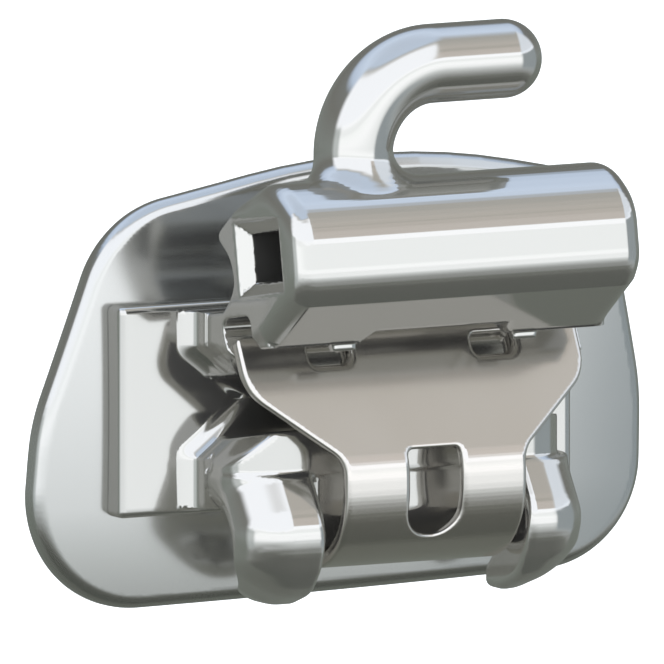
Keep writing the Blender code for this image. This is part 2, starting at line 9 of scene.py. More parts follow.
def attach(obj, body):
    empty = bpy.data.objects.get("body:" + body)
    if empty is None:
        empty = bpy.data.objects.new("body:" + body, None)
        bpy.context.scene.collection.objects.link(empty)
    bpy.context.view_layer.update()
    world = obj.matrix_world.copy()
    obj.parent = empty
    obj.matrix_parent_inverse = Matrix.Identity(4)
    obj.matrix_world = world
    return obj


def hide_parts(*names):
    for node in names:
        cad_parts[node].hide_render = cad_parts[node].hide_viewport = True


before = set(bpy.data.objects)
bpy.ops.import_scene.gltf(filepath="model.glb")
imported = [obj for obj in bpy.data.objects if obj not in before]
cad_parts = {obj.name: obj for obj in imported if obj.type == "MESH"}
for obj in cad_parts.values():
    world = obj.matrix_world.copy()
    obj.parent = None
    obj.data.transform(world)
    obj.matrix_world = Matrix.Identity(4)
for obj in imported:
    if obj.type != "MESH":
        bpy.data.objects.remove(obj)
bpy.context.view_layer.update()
print("frame loaded")

mm = 0.001
# Shapes are worked out in millimetres from the middle of the platform's front face, which lies
# this far in front of the bonding face, the world's origin
seatDepth = 0.34
arcStep = math.radians(6)
fineArcStep = math.radians(3)
tiny = 1e-12
keen = 0.01  # the radius of an edge that is left nearly sharp


# An outline through corners (across, up, radius), each turned by an arc of its own radius
def rounded(corners, step=arcStep):
    points = []
    for i, (x, y, radius) in enumerate(corners):
        here = Vector((x, y))
        before = (Vector(corners[i - 1][:2]) - here).normalized()
        after = (Vector(corners[(i + 1) % len(corners)][:2]) - here).normalized()
        if radius <= 0:
            points.append((x, y))
            continue
        opening = before.angle(after)
        reach = radius / math.tan(opening / 2)
        start, end = here + before * reach, here + after * reach
        centre = here + (before + after).normalized() * (radius / math.sin(opening / 2))
        first = math.atan2(*(start - centre).yx)
        sweep = (math.atan2(*(end - centre).yx) - first + math.pi) % (2 * math.pi) - math.pi
        count = max(1, math.ceil((math.pi - opening) / step))
        for k in range(count + 1):
            angle = first + sweep * k / count
            points.append((centre.x + radius * math.cos(angle), centre.y + radius * math.sin(angle)))
    return points


# Signed distance of (u, v) to a closed outline: the nearest edge, negative for a point from which a
# line sideways crosses the outline an odd number of times
def toOutline(u, v, outline):
    points = np.array(outline)
    nearest = np.full(np.broadcast(u, v).shape, np.inf)
    inside = np.zeros(nearest.shape, bool)
    for (ax, ay), (bx, by) in zip(points, np.roll(points, -1, axis=0)):
        ex, ey = bx - ax, by - ay
        size = ex * ex + ey * ey
        if size < tiny:
            continue
        wx, wy = u - ax, v - ay
        along = np.clip((wx * ex + wy * ey) / size, 0, 1)
        nearest = np.minimum(nearest, (wx - along * ex) ** 2 + (wy - along * ey) ** 2)
        if ey != 0:
            crosses = (ay <= v) != (by <= v)
            inside ^= crosses & (u < ax + (v - ay) * ex / ey)
    return np.where(inside, -1, 1) * np.sqrt(nearest)


# Two distances joined: their lesser one, with a fillet of this radius where both are near
def merge(a, b, radius):
    near = np.sqrt(np.maximum(radius - a, 0) ** 2 + np.maximum(radius - b, 0) ** 2)
    return np.maximum(radius, np.minimum(a, b)) - near


# What both hold: their greater one, with the edge between them turned by this radius
def common(a, b, radius):
    near = np.sqrt(np.maximum(radius + a, 0) ** 2 + np.maximum(radius + b, 0) ** 2)
    return np.minimum(-radius, np.maximum(a, b)) + near


# The first less the second: what the first holds and the second doesn't, with the cut's edge turned
def carve(a, b, radius):
    return common(a, -b, radius)


# A smooth rise from 0 to 1 between two values: three times the square of the share, less twice its cube
def ramp(value, low, high):
    share = np.clip((value - low) / (high - low), 0, 1)
    return share * share * (3 - 2 * share)


# Grid lines through stretches of (end, spacing), from a start
def spaced(start, *stretches):
    lines = [np.array([start])]
    for end, step in stretches:
        count = max(1, int(round((end - start) / step)))
        lines.append(np.linspace(start, end, count + 1)[1:])
        start = end
    return np.concatenate(lines)


# The unit slope of a field at points, from the four corners of a small tetrahedron round each
def slopeAt(field, points, reach):
    corners = np.array(((1, -1, -1), (-1, -1, 1), (-1, 1, -1), (1, 1, 1))) * reach
    slope = sum(field(*(points + corner).T)[:, None] * corner for corner in corners)
    return slope / np.maximum(np.linalg.norm(slope, axis=1), tiny)[:, None]


skinning = {
    "reach": 0.15,  # size of the slope's tetrahedron, as a share of the finest grid spacing
    "hold": 0.02,  # pull of each cell's point towards the middle of its crossings
    "creased": 0.86,  # length of a cell's mean slope, up to which it holds a crease
    "smooth": 0.94,  # and from which it holds none
    "inward": 0.3,  # how far inside its face the slope at a crease is taken
}


# The surface where a distance field is zero: a face for each grid edge that it crosses, and in each
# cell one point, where the planes through the cell's crossings meet with the least error
def skin(name, field, axes):
    counts = [len(a) for a in axes]
    grid = field(axes[0][:, None, None], axes[1][None, :, None], axes[2][None, None, :])
    grid = np.broadcast_to(grid, counts)
    strides = np.array([counts[1] * counts[2], counts[2], 1])
    cells, places, quads = [], [], []
    for axis in range(3):
        one, two = (axis + 1) % 3, (axis + 2) % 3
        near = np.moveaxis(grid, axis, 0)
        lowSide, highSide = near[:-1], near[1:]
        where = np.argwhere((lowSide < 0) != (highSide < 0))
        first, last = lowSide[tuple(where.T)], highSide[tuple(where.T)]
        index = np.empty_like(where)
        index[:, [axis] + [k for k in range(3) if k != axis]] = where
        point = index.astype(float)
        point[:, axis] += first / (first - last)
        ring = []
        for stepOne, stepTwo in ((-1, -1), (0, -1), (0, 0), (-1, 0)):
            cell = index.copy()
            cell[:, one] += stepOne
            cell[:, two] += stepTwo
            ring.append(cell @ strides)
        cells += ring
        places.append(point)
        quad = np.stack(ring, axis=1)
        quads.append(np.where((first < 0)[:, None], quad, quad[:, ::-1]))
    crossing = np.concatenate(places)
    for k in range(3):
        crossing[:, k] = np.interp(crossing[:, k], np.arange(counts[k]), axes[k])
    reach = skinning["reach"] * min(np.diff(a).min() for a in axes)
    planes = slopeAt(field, crossing, reach)
    index = np.arange(len(crossing))
    parts = np.split(index, np.cumsum([len(p) for p in places])[:-1])
    source = np.concatenate([part for part in parts for _ in range(4)])
    used, owner = np.unique(np.concatenate(cells), return_inverse=True)
    spots, leans = crossing[source], planes[source]
    total = np.bincount(owner)[:, None]

    def gather(values):
        return np.stack([np.bincount(owner, column) for column in values.T], axis=1)

    middle = gather(spots) / total
    lean = gather(leans) / total
    shift = (leans * (spots - middle[owner])).sum(axis=1)
    pull = gather(leans * shift[:, None])
    square = gather((leans[:, :, None] * leans[:, None, :]).reshape(-1, 9)).reshape(-1, 3, 3)
    held = square + skinning["hold"] * total[:, :, None] * np.eye(3)
    move = np.linalg.solve(held, pull[:, :, None])[:, :, 0]
    lowCell = np.stack(np.unravel_index(used, counts), axis=1)
    lowCorner = np.stack([axes[k][lowCell[:, k]] for k in range(3)], axis=1)
    size = np.stack([np.diff(axes[k])[lowCell[:, k]] for k in range(3)], axis=1)
    points = np.clip(middle + move, lowCorner, lowCorner + size)
    # Cells without a crease are moved onto the surface and keep one normal for all their faces
    normals = slopeAt(field, points, reach)
    together = ramp(np.linalg.norm(lean, axis=1), skinning["creased"], skinning["smooth"])[:, None]
    points -= normals * field(*points.T)[:, None] * together
    normals = slopeAt(field, points, reach) * together + lean * (1 - together)
    faces = np.searchsorted(used, np.concatenate(quads))
    print(f"{name}: {2 * len(faces)} triangles")
    # A crease gets a normal for each face, taken a little inside that face
    corners = normals[faces]
    creased = together[:, 0][faces] < 0.5
    share = skinning["inward"]
    inward = points[faces] * (1 - share) + points[faces].mean(axis=1, keepdims=True) * share
    corners[creased] = slopeAt(field, inward[creased], reach)
    return newPiece(name, points, faces, corners)


# A mesh from points in millimetres before the platform, faces and a normal at each face's corners
def newPiece(name, points, faces, normals):
    mesh = bpy.data.meshes.new(name)
    places = (points - (0, seatDepth, 0)) * mm
    size = faces.shape[1]
    mesh.vertices.add(len(places))
    mesh.vertices.foreach_set("co", places.ravel())
    mesh.loops.add(faces.size)
    mesh.loops.foreach_set("vertex_index", faces.ravel())
    mesh.polygons.add(len(faces))
    mesh.polygons.foreach_set("loop_start", np.arange(len(faces)) * size)
    mesh.update(calc_edges=True)
    mesh.shade_smooth()
    normals = normals.reshape(-1, 3)
    mesh.normals_split_custom_set(normals / np.linalg.norm(normals, axis=1)[:, None])
    piece = bpy.data.objects.new(name, mesh)
    bpy.context.scene.collection.objects.link(piece)
    return piece


# The spring clip is one bent sheet: a leaning front arm, the belly, the turn below the body's wall
# and a tail that runs up inside the body
clip = {
    "thickness": 0.13,
    "left": 1.785,
    "right": 1.735,
    "neckHalf": 0.935,
    "top": 0.72,
    "slant": 0.5,
    "atSlot": 1.07,
    "belly": 1.30,
    "bottom": 1.47,
    "foot": 0.40,
    "shoulder": 0.232,
    "neckTop": -0.405,
    "tailTop": -0.36,
    "bellyRound": 0.60,
    "lowRound": 0.78,
    "footRound": 0.16,
    "shoulderRound": 0.40,
    "neckRound": 0.25,
    "edgeRound": 0.05,
    "clearance": 0.02,
    "slide": math.radians(18.5),
    "window": (0.27, -0.34, -1.14),  # half width, top and bottom
    "windowRound": 0.06,
    "windowEnd": 0.94,  # radius of its lower corners, as a share of the half width
    "windowBack": 0.62,  # it goes through the front arm only, which lies further forward than this
    "notch": (0.63, 1.07, 0.43, 0.62),  # inner and outer side, bottom and top
    "notchRound": (0.09, 0.04),  # at its bottom and at its top
    "runOn": 0.4,  # how far the outline seen from the front runs on past the sheet's ends
    "shortest": 0.004,  # points of its line that are closer than this are left out
    "passageStart": 0.3,  # how far below the foot the tail's passage is cut from
    "passageEdge": 0.015,
}


# How far forward the front arm's outer face lies at a height: a straight line through atSlot
def armFront(z):
    return clip["atSlot"] - clip["slant"] * z


# And its inner face, behind the outer one by the thickness over the cosine of the lean
def armBack(z):
    return armFront(z) - clip["thickness"] * math.hypot(1, clip["slant"])


# The clip's tail, from the corner at its foot: the foot and the direction up it
def tailLine():
    foot = (clip["foot"], -clip["bottom"])
    return foot, (-math.sin(clip["slide"]), math.cos(clip["slide"]))


# The clip's outer face from its top edge round to the end of its tail
def clipLine():
    foot, (df, du) = tailLine()
    rise = (clip["tailTop"] - foot[1]) / du
    bendZ = -(clip["belly"] - clip["atSlot"]) / clip["slant"]
    corners = [
        (armFront(clip["top"]), clip["top"], 0),
        (clip["belly"], bendZ, clip["bellyRound"]),
        (clip["belly"], -clip["bottom"], clip["lowRound"]),
        (*foot, clip["footRound"]),
        (foot[0] + df * rise, clip["tailTop"], 0),
    ]
    path = rounded(corners, fineArcStep)
    return [q for i, q in enumerate(path) if i == 0 or math.dist(q, path[i - 1]) > clip["shortest"]]


# The sheet's section: its outer line, and that line set inwards by the thickness along mitred normals
def sheetOutline(path, thickness):
    line = np.array(path)
    run = np.diff(line, axis=0)
    normal = np.stack([run[:, 1], -run[:, 0]], axis=1)
    normal /= np.linalg.norm(normal, axis=1)[:, None]
    before, after = np.vstack([normal[:1], normal]), np.vstack([normal, normal[-1:]])
    mitre = (before + after) / (1 + (before * after).sum(axis=1))[:, None]
    return np.vstack([line, (line + mitre * thickness)[::-1]])


# The clip: what its section and its outline from the front both hold, less the window and the notches
def clipField(x, y, z):
    sheet = toOutline(-y, z, sheetOutline(clipLine(), clip["thickness"]))
    foot, head = -clip["bottom"] - clip["runOn"], clip["top"] + clip["runOn"]
    waist = rounded(
        [
            (-clip["left"], head, 0),
            (-clip["left"], clip["shoulder"], clip["shoulderRound"]),
            (-clip["neckHalf"], clip["neckTop"], clip["neckRound"]),
            (-clip["neckHalf"], foot, 0),
            (clip["neckHalf"], foot, 0),
            (clip["neckHalf"], clip["neckTop"], clip["neckRound"]),
            (clip["right"], clip["shoulder"], clip["shoulderRound"]),
            (clip["right"], head, 0),
        ]
    )
    field = common(sheet, toOutline(x, z, waist), clip["edgeRound"])
    half, top, bottom = clip["window"]
    topRound, lowRound = clip["windowRound"], half * clip["windowEnd"]
    window = rounded(
        [(-half, top, topRound), (half, top, topRound), (half, bottom, lowRound), (-half, bottom, lowRound)]
    )
    window = np.maximum(toOutline(x, z, window), y + clip["windowBack"])
    inner, outer, low, high = clip["notch"]
    lowRound, topRound = clip["notchRound"]
    notch = rounded(
        [(inner, high, topRound), (outer, high, topRound), (outer, low, lowRound), (inner, low, lowRound)]
    )
    holes = np.minimum(window, toOutline(np.abs(x), z, notch))
    return carve(field, holes, clip["edgeRound"])


# The bonding pad: each corner of its outline is (across, up, radius)
pad = {
    "bottomLeft": (-3.43, -1.90, 1.10),
    "left": (-3.29, -0.11, 2.0),
    "topLeft": (-2.567, 1.794, 1.10),
    "top": (0.287, 2.336, 7.0),
    "topRight": (2.61, 1.85, 0.90),
    "right": (2.98, -0.11, 2.5),
    "bottomRight": (2.97, -1.735, 1.0),
    "crest": 0.12,
    "thickness": 0.22,
    "radius": 30.0,
    "lowStart": -0.9,
    "lowRadius": 12.0,
    "round": 0.13,
    "backRound": 0.05,
}
padCorners = ("bottomLeft", "left", "topLeft", "top", "topRight", "right", "bottomRight")
padOutline = rounded([pad[corner] for corner in padCorners], fineArcStep)


# The pad's front face: a shallow bowl, the square of the distance from its middle over twice the
# radius, which bends a little more towards its lower rim
def padFace(x, z):
    below = np.maximum(pad["lowStart"] - z, 0)
    return pad["crest"] + (x * x + z * z) / (2 * pad["radius"]) + below**2 / (2 * pad["lowRadius"])


# The pad: all that lies within its outline and between its two bowls, with a rounder rim in front
def padField(x, y, z):
    behind = y - padFace(x, z)
    field = common(toOutline(x, z, padOutline), -behind, pad["round"])
    return common(field, behind - pad["thickness"], pad["backRound"])


# The casting, form by form. Tube, neck, lip, stops and the clip's space are measured along the slot's
# tilted axes, as (depth, height) from its floor and middle. The rest is (ahead, up) from the middle of
# the platform's front face
slot = {"height": 0.56, "floor": 0.05, "torque": math.radians(10), "edge": 0.025}
flare = {"angle": math.radians(38), "top": 0.60, "bottom": 0.46, "edge": 0.05}
body = {
    "left": 1.84,
    "right": 1.665,
    "front": 0.825,
    "inside": -0.03,  # where wall and keel start, behind the platform's face
    "wallTop": 0.10,
    "wallBottom": 0.56,
    "wallTuck": 0.15,  # how far its foot draws back
    "wallFoot": 0.4,  # and how far below the wall it ends, hidden in the wings
    "wallRound": 0.44,
    "platformLeft": 2.613,
    "platformRight": 2.09,
    "platformHalf": 0.98,
    "platformRound": 0.07,
    "platformCorner": 0.06,
    "flankTurn": 0.23,  # the right flank leans between this height and its opposite
    "flankFillet": 0.20,
    "join": 0.02,
    "padGap": 0.006,
    "padEdge": 0.02,
}
tube = {
    "half": 1.82,
    "boreHeight": 0.457,
    "boreDepth": 0.635,
    "mouth": 0.12,
    "centre": (1.41, 1.31),
    "front": 2.15,
    "top": 2.085,
    "crest": 1.60,
    "heel": (0.58, 1.56),
    "waist": (0.93, 1.24),
    "under": 0.88,
    "root": 0.49,
    "inNeck": (0.27, 0.08),  # the section starts behind the waist and above the root by these
    "overLip": 0.004,
    "chin": (0.17, 0.07),  # behind the front and below the underside
    "noseLow": (0.005, 0.12, 0.40),  # behind the front, above the underside, and its radius
    "noseHigh": (0.465, 0.52),  # below the top, and its radius
    "crestRound": 0.58,
    "heelRound": 0.08,
    "waistRound": 0.35,
    "roundsOver": 0.45,  # from the waist on, the ends' radius grows over this depth
    "backRound": 0.04,
    "noseRound": 0.21,
}
neck = {
    "back": -0.10,
    "front": 0.95,
    "bottom": 0.05,
    "top": 1.10,
    "shelf": (0.61, 0.86, 0.08),
    "fillet": 0.05,
}
lip = {
    "front": 1.33,
    "back": 1.15,
    "bottom": 0.474,
    "top": 0.72,
    "spare": 0.02,  # how much deeper it is made before the clip's space cuts it
    "short": 0.06,
    "endRound": 0.05,
    "relief": 0.09,
    "reliefHalf": 0.69,
    "reliefDepth": 0.26,
    "reliefStart": 0.1,
    "reliefEdge": 0.02,
}
stop = {
    "drop": 0.065,
    "rise": 0.06,
    "inner": 0.84,
    "outer": 1.09,
    "overlap": 0.02,
    "lean": 0.04,
    "depth": 1.235,
    "half": 0.052,
    "round": 0.03,
    "join": 0.02,
}
clipSpace = {
    "front": 1.45,
    "under": 0.30,
    "top": 0.79,
    "topRound": 0.10,
    "lean": 0.01,
    "behindSeat": 0.02,
    "seatRound": 0.03,
    "edge": 0.02,
}
keel = {
    "front": 0.815,
    "knee": (-0.95, 0.15),
    "toe": (0.66, -1.29, 0.10),
    "heel": (0.36, -1.31, 0.05),
    "foot": -0.97,
    "half": 1.02,
    "edge": 0.03,
}
wing = {
    "inner": 1.045,
    "right": 1.76,
    "reach": 1.19,
    "bottom": 1.79,
    "nose": 1.06,
    "inside": -0.12,
    "top": 0.20,
    "proud": 0.030,  # how far its top stands ahead of the wall
    "notch": (0.040, 0.015, 0.10),  # ahead of the wall, below it, and its radius
    "noseRound": 0.48,
    "cheek": (0.15, 0.38, 0.40),  # behind the reach, below the nose, and its radius
    "chin": (0.32, 0.12, 0.40),  # behind the reach, above the bottom, and its radius
    "tipBack": 0.20,
    # From the tip's back and the wing's bottom: underside, back corner, and the hollow behind the tip
    "tip": (
        (0.30, -0.01, 0.40),
        (0, -0.01, 0.08),
        (0.02, 0.19, 0.12),
        (0.22, 0.39, 0.16),
        (0.20, 0.69, 0.30),
    ),
    "hollowTop": 0.89,
    "taperFrom": 1.30,
    "lowTaper": 0.16,
    "topRound": 0.03,
    "innerRound": 0.08,
    "endRound": 0.46,
    "fillet": 0.05,
}
hook = {
    "radius": 0.365,
    "x": -0.75,
    "forward": 1.05,
    "armHeight": 3.20,
    "bend": 0.80,
    "reach": 1.55,
    "root": 1.80,
    "flare": 0.26,
}


# Place along the slot's tilted axes: depth in front of its floor and height above its middle
def slotAxes(y, z):
    turn, rise = math.cos(slot["torque"]), math.sin(slot["torque"])
    ahead = y + slot["floor"]
    return -ahead * turn + z * rise, ahead * rise + z * turn


tubeOutline = rounded(
    [
        (tube["waist"][0] - tube["inNeck"][0], tube["root"] + tube["inNeck"][1], 0),
        (lip["front"] + tube["overLip"], tube["root"], 0),
        (tube["front"] - tube["chin"][0], tube["under"] - tube["chin"][1], 0),
        (tube["front"] - tube["noseLow"][0], tube["under"] + tube["noseLow"][1], tube["noseLow"][2]),
        (tube["front"], tube["top"] - tube["noseHigh"][0], tube["noseHigh"][1]),
        (tube["crest"], tube["top"], tube["crestRound"]),
        (*tube["heel"], tube["heelRound"]),
        (*tube["waist"], tube["waistRound"]),
    ]
)
neckOutline = rounded(
    [
        (neck["back"], neck["bottom"], 0),
        (neck["front"], neck["bottom"], 0),
        (neck["front"], neck["top"], 0),
        neck["shelf"],
        (neck["back"], neck["shelf"][1], 0),
    ]
)
lipOutline = [
    (lip["back"] - lip["spare"], lip["top"]),
    (lip["back"] - lip["spare"], lip["bottom"]),
    (lip["front"], lip["bottom"]),
    (lip["front"], lip["top"]),
]
seatLow = slotAxes(-(armBack(0) - clip["clearance"]), 0)
seatHigh = slotAxes(-(armBack(clip["top"]) - clip["clearance"]), clip["top"])
clipSpaceOutline = rounded(
    [
        (clipSpace["front"], 0.0, 0),
        (clipSpace["front"], clipSpace["under"], 0),
        (lip["back"], clipSpace["under"], 0),
        (lip["back"] - clipSpace["lean"], clipSpace["top"], clipSpace["topRound"]),
        (seatHigh[0] - clipSpace["behindSeat"], clipSpace["top"], clipSpace["topRound"]),
        (*seatHigh, clipSpace["seatRound"]),
        (*seatLow, 0),
    ]
)
keelOutline = rounded(
    [
        (body["inside"], body["wallTop"], 0),
        (keel["front"], body["wallTop"], 0),
        (keel["front"], *keel["knee"]),
        keel["toe"],
        keel["heel"],
        (body["inside"], keel["foot"], 0),
    ]
)
wallOutline = [
    (body["inside"], body["wallTop"]),
    (body["front"], body["wallTop"]),
    (body["front"], -body["wallBottom"]),
    (body["front"] - body["wallTuck"], -body["wallBottom"] - body["wallFoot"]),
    (body["inside"], -body["wallBottom"] - body["wallFoot"]),
]
wingOutline = rounded(
    [
        (wing["inside"], wing["top"], 0),
        (body["front"] + wing["proud"], wing["top"], 0),
        (body["front"] + wing["notch"][0], -body["wallBottom"] - wing["notch"][1], wing["notch"][2]),
        (wing["reach"], -wing["nose"], wing["noseRound"]),
        (wing["reach"] - wing["cheek"][0], -wing["nose"] - wing["cheek"][1], wing["cheek"][2]),
        (wing["reach"] - wing["chin"][0], wing["chin"][1] - wing["bottom"], wing["chin"][2]),
        *((wing["tipBack"] + ahead, up - wing["bottom"], radius) for ahead, up, radius in wing["tip"]),
        (wing["inside"], wing["hollowTop"] - wing["bottom"], 0),
    ]
)
flareApex = body["left"] - (flare["top"] + flare["bottom"]) / 2 / math.tan(flare["angle"])
flareMiddle = (flare["top"] - flare["bottom"]) / 2
# The column that stands on the platform, seen from the front: upright flanks, the left one flared
columnHalf = body["platformHalf"] - body["platformRound"]
columnOutline = [
    (-body["left"], -columnHalf),
    (-body["left"], -flare["bottom"]),
    (-flareApex, flareMiddle),
    (-body["left"], flare["top"]),
    (-body["left"], columnHalf),
    (tube["half"], columnHalf),
    (tube["half"], body["flankTurn"]),
    (body["right"], -body["flankTurn"]),
    (body["right"], -columnHalf),
]


# The passage for the clip's tail: its line, with the clearance on every side
def passageOutline():
    foot, (df, du) = tailLine()
    gap, start = clip["clearance"], -clip["passageStart"]
    length = (clip["tailTop"] + gap - foot[1]) / du
    far = clip["thickness"] + gap
    return [
        (foot[0] + df * a + du * b, foot[1] + du * a - df * b)
        for a, b in ((start, -gap), (start, far), (length, far), (length, -gap))
    ]


# The round hook: distance to its post, quarter bend and arm, less its radius
def hookField(x, y, z):
    across, deep = x - hook["x"], y + hook["forward"]
    bend, top = hook["bend"], hook["armHeight"]
    post = np.sqrt(across**2 + deep**2 + np.maximum(z - (top - bend), 0) ** 2)
    bendX, bendZ = across - bend, z - (top - bend)
    ring = np.sqrt((np.sqrt(bendX**2 + bendZ**2) - bend) ** 2 + deep**2)
    ring = np.where((bendX < 0) & (bendZ > 0), ring, np.inf)
    ahead = across - np.clip(across, bend, hook["reach"])
    arm = np.sqrt(ahead**2 + deep**2 + (z - top) ** 2)
    post = np.maximum(post, hook["root"] - z)
    return np.minimum(np.minimum(post, ring), arm) - hook["radius"]


# The tube and the neck behind it: their joined section in the slot's axes, cut to length, with ends
# that are rounder towards the nose
def tubeField(x, depth, height):
    neckPart = toOutline(depth, height, neckOutline)
    section = merge(toOutline(depth, height, tubeOutline), neckPart, neck["fillet"])
    share = ramp(depth, tube["waist"][0], tube["waist"][0] + tube["roundsOver"])
    endRound = tube["backRound"] + (tube["noseRound"] - tube["backRound"]) * share
    return common(section, np.abs(x) - tube["half"], endRound)


# The bore and its two funnel mouths: a box section, and the same section grown by what is left of
# the mouth's depth
def boreField(x, depth, height):
    across = np.abs(depth - tube["centre"][0]) - tube["boreDepth"] / 2
    up = np.abs(height - tube["centre"][1]) - tube["boreHeight"] / 2
    bore = np.maximum(across, up)
    mouth = (bore - tube["mouth"] + tube["half"] - np.abs(x)) * math.sqrt(0.5)
    return np.minimum(bore, mouth)


# The passage under the lip between the two stops, with sloping sides
def reliefField(side, depth, height):
    base, top = lip["bottom"] - stop["drop"], lip["bottom"] + lip["relief"]
    outline = [
        (stop["inner"], base - lip["reliefStart"]),
        (stop["inner"], base),
        (lip["reliefHalf"], top),
        (-lip["reliefHalf"], top),
        (-lip["reliefHalf"], base - lip["reliefStart"]),
    ]
    middle = (lip["front"] + lip["back"]) / 2
    return common(toOutline(side, height, outline), np.abs(depth - middle) - lip["reliefDepth"], keen)


# The stops that hang from the lip: one outline for both, narrower below, between two depths
def stopField(side, depth, height):
    low, high = lip["bottom"] - stop["drop"], lip["bottom"] + stop["rise"]
    outline = [
        (stop["inner"] - stop["overlap"], high),
        (stop["inner"] - stop["overlap"], low),
        (stop["outer"] - stop["lean"], low),
        (stop["outer"], high),
    ]
    across = np.abs(depth - stop["depth"]) - stop["half"]
    return common(toOutline(side, height, outline), across, stop["round"])


# The slot's lower wall and the keel under it: two outlines, each cut to its own width
def wallField(x, ahead, z):
    middle, half = (body["right"] - body["left"]) / 2, (body["right"] + body["left"]) / 2
    wall = common(toOutline(ahead, z, wallOutline), np.abs(x - middle) - half, body["wallRound"])
    keelPart = common(toOutline(ahead, z, keelOutline), np.abs(x) - keel["half"], keel["edge"])
    return np.minimum(wall, keelPart)


# The two tie wings: one outline below the wall, cut to a width that tapers towards the bottom, and
# parted by the gap that the clip runs in
def wingField(x, ahead, z):
    middle, half = (wing["right"] - body["left"]) / 2, (wing["right"] + body["left"]) / 2
    end = np.abs(x - middle) - half + wing["lowTaper"] * ramp(-z, wing["taperFrom"], wing["bottom"])
    wings = common(toOutline(ahead, z, wingOutline), end, wing["endRound"])
    wings = common(wings, z + body["wallBottom"], wing["topRound"])
    return common(wings, wing["inner"] - np.abs(x), wing["innerRound"])


# The wedge that opens the slot's left end: between two planes that meet at the apex
def wedgeField(x, z):
    spread = (-x - flareApex) * math.tan(flare["angle"])
    return (np.abs(z - flareMiddle) - spread) * math.cos(flare["angle"])


# The platform, a box with turned rims, and the skirt that sweeps up from it to the column's flanks
def platformField(x, y, z):
    middle = (body["platformRight"] - body["platformLeft"]) / 2
    half = (body["platformRight"] + body["platformLeft"]) / 2
    rimX, rimZ = np.abs(x - middle) - half, np.abs(z) - body["platformHalf"]
    skirt = merge(toOutline(x, z, columnOutline), -y, body["flankFillet"])
    inner = np.maximum(rimX, rimZ) + body["platformRound"]
    skirt = np.maximum(np.maximum(skirt, inner), -y - body["flankFillet"] - keen)
    return skirt, common(common(rimX, rimZ, body["platformCorner"]), -y, body["platformRound"])


# The casting: tube, lip, wall, keel and wings joined, less the clip's space and the flare, then the
# skirt, less the slot, then the platform and the hook, less the bore, the relief and the passage,
# then the stops, and of it all what lies in front of the pad
def bodyField(x, y, z):
    depth, height = slotAxes(y, z)
    ahead, side = -y, np.abs(x)
    lipEnd = side - tube["half"] + lip["short"]
    lipPart = common(toOutline(depth, height, lipOutline), lipEnd, lip["endRound"])
    upper = merge(tubeField(x, depth, height), lipPart, body["join"])
    lower = merge(wallField(x, ahead, z), wingField(x, ahead, z), wing["fillet"])
    field = merge(upper, lower, body["join"])
    field = carve(field, toOutline(depth, height, clipSpaceOutline), clipSpace["edge"])
    field = carve(field, wedgeField(x, z), flare["edge"])
    skirt, platform = platformField(x, y, z)
    opening = common(np.abs(height) - slot["height"] / 2, -depth, keen)
    field = carve(np.minimum(field, skirt), opening, slot["edge"])
    field = merge(np.minimum(field, platform), hookField(x, y, z), hook["flare"])
    field = carve(field, boreField(x, depth, height), keen)
    field = carve(field, reliefField(side, depth, height), lip["reliefEdge"])
    passageEnd = side - clip["neckHalf"] - clip["clearance"]
    passage = common(toOutline(ahead, z, passageOutline()), passageEnd, keen)
    field = carve(field, passage, clip["passageEdge"])
    field = merge(field, stopField(side, depth, height), stop["join"])
    return common(field, y - padFace(x, z) + body["padGap"], body["padEdge"])


# Grid lines across, in depth and up: closer where small edges lie
bodyGrid = (
    spaced(-2.68, (-2.50, 0.024), (-2.05, 0.05), (-1.08, 0.026), (-0.62, 0.034), (0.62, 0.05),
           (1.12, 0.026), (1.60, 0.045), (1.86, 0.022), (2.02, 0.04), (2.14, 0.024)),
    spaced(-2.12, (0.30, 0.0275)),
    spaced(-1.86, (2.32, 0.0275), (3.62, 0.040)),
)
clipGrid = (spaced(-1.84, (1.80, 0.022)), spaced(-1.36, (0.02, 0.018)), spaced(-1.53, (0.78, 0.018)))
padGrid = (spaced(-3.46, (3.04, 0.030)), spaced(0.06, (0.66, 0.020)), spaced(-1.98, (2.28, 0.030)))
castBody = skin("castBody", bodyField, bodyGrid)
springSheet = skin("springSheet", clipField, clipGrid)
curvedPad = skin("curvedPad", padField, padGrid)
for piece, node, owner, finish in (
    (castBody, "bracket_body", "bracket", "body_steel"),
    (springSheet, "spring_clip", "clip", "clip_steel"),
    (curvedPad, "bonding_pad", "bracket", "pad_steel"),
):
    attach(piece, owner)
    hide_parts(node)
print("pieces made")


# One shader socket, with arithmetic that adds the nodes it needs
class Wire:
    def __init__(self, sheet, socket):
        self.sheet, self.socket = sheet, socket

    def math(self, operation, other=None, turned=False):
        values = [self, other] if other is not None else [self]
        values = values[::-1] if turned else values
        return self.sheet.add("ShaderNodeMath", {"operation": operation}, values)

    def __add__(self, other):
        return self.math("ADD", other)

    def __sub__(self, other):
        return self.math("SUBTRACT", other)

    def __rsub__(self, other):
        return self.math("SUBTRACT", other, True)

    def __mul__(self, other):
        return self.math("MULTIPLY", other)

    def __truediv__(self, other):
        return self.math("DIVIDE", other)

    def __rtruediv__(self, other):
        return self.math("DIVIDE", other, True)

    __radd__, __rmul__ = __add__, __mul__


